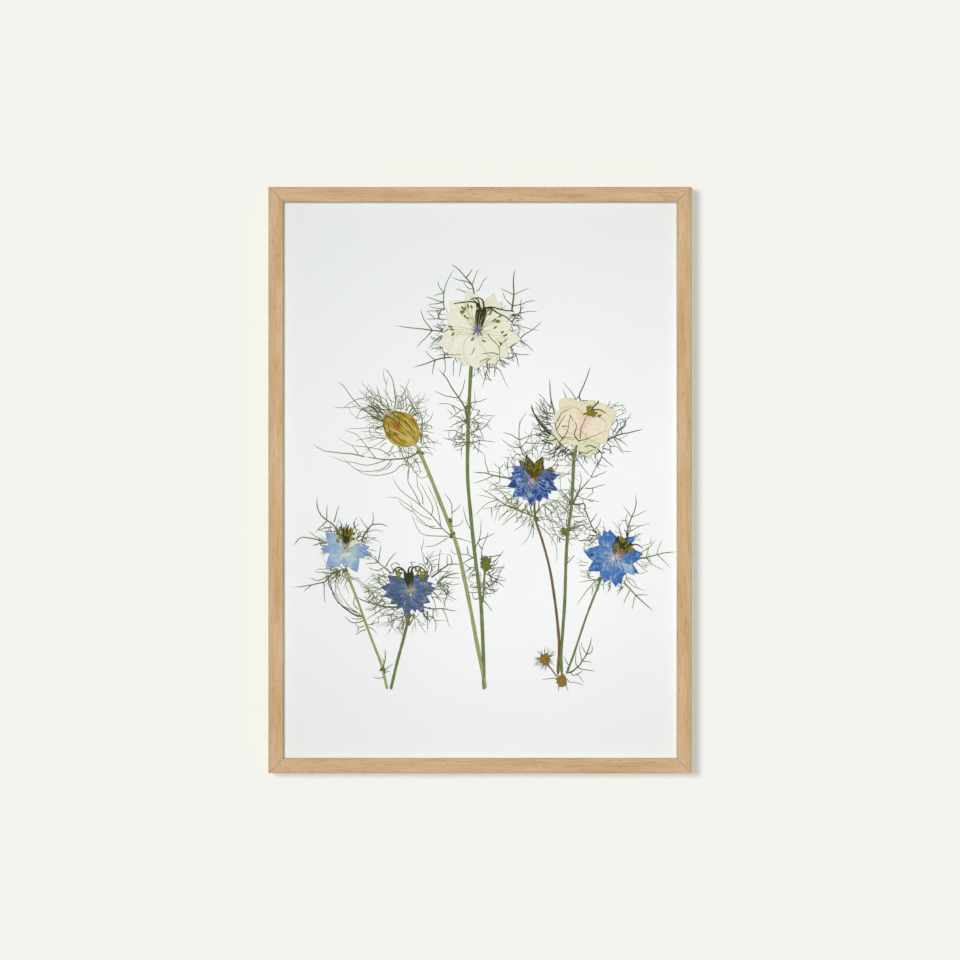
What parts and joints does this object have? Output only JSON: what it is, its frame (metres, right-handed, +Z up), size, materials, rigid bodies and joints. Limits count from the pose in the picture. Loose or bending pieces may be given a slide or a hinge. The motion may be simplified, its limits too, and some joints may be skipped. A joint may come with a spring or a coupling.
{
  "type": "pressed flower frame",
  "caption": "Slim oak picture frame with pressed love-in-a-mist flowers and a seed pod on white card behind glass, hung by a toothed hanger.",
  "frame": {"origin": "hanging point: the middle of the hanger's toothed edge, carried straight back to the plane of the wall", "axes": "+Z up the picture, -Y out of the wall towards the viewer, +X to the viewer's right"},
  "size_m": [0.226, 0.02, 0.313],
  "materials": {
    "oak": "clear matt lacquer on pale oak",
    "glazing": "clear picture glass",
    "card": "smooth matt white",
    "board": "bare fibreboard",
    "steel": "zinc plated",
    "stem_green": "dried, matt",
    "stem_pale": "dried, matt",
    "stem_brown": "dried, matt",
    "leaf_thread": "dried, matt",
    "white_petal": "dried, matt",
    "cream_petal": "dried, matt",
    "pale_petal": "dried, matt",
    "dusk_petal": "dried, matt",
    "royal_petal": "dried, matt",
    "sky_petal": "dried, matt",
    "pistil": "dried, matt",
    "capsule": "dried, satin",
    "bud": "dried, matt"
  },
  "bodies": {
    "root": {"frame_rail_top": "oak", "frame_rail_bottom": "oak", "frame_stile_left": "oak", "frame_stile_right": "oak", "glazing_pane": "glazing", "mount_card": "card", "spacer_top": "card", "spacer_bottom": "card", "spacer_left": "card", "spacer_right": "card", "backing_board": "board", "hanger": "steel", "hanger_rivet_left": "steel", "hanger_rivet_right": "steel", "tab_left_upper": "steel", "tab_left_lower": "steel", "tab_right_upper": "steel", "tab_right_lower": "steel", "tab_top": "steel", "tab_bottom": "steel", "white_stem": "stem_green", "dusk_stem": "stem_green", "cream_stem": "stem_green", "side_bud_stalk": "stem_green", "sky_stem": "stem_green", "capsule_stem": "stem_pale", "pale_stem": "stem_pale", "royal_stem": "stem_brown", "base_bud_stalk": "stem_brown", "base_crown": "stem_brown", "white_bracts": "leaf_thread", "white_leaves": "leaf_thread", "capsule_bracts": "leaf_thread", "capsule_leaf": "leaf_thread", "pale_bracts": "leaf_thread", "pale_leaf": "leaf_thread", "pale_base_leaf": "leaf_thread", "dusk_bracts": "leaf_thread", "side_bud_leaves": "leaf_thread", "royal_bracts": "leaf_thread", "cream_bracts": "leaf_thread", "cream_leaves": "leaf_thread", "sky_bracts": "leaf_thread", "base_leaf": "leaf_thread", "white_petals": "white_petal", "white_pistil": "pistil", "pale_petals": "pale_petal", "pale_pistil": "pistil", "dusk_petals": "dusk_petal", "dusk_pistil": "pistil", "royal_petals": "royal_petal", "royal_pistil": "pistil", "cream_petals": "cream_petal", "cream_pistil": "pistil", "sky_petals": "sky_petal", "sky_pistil": "pistil", "seed_capsule": "capsule", "side_bud": "bud", "base_bud": "bud"}
  },
  "joints": []
}
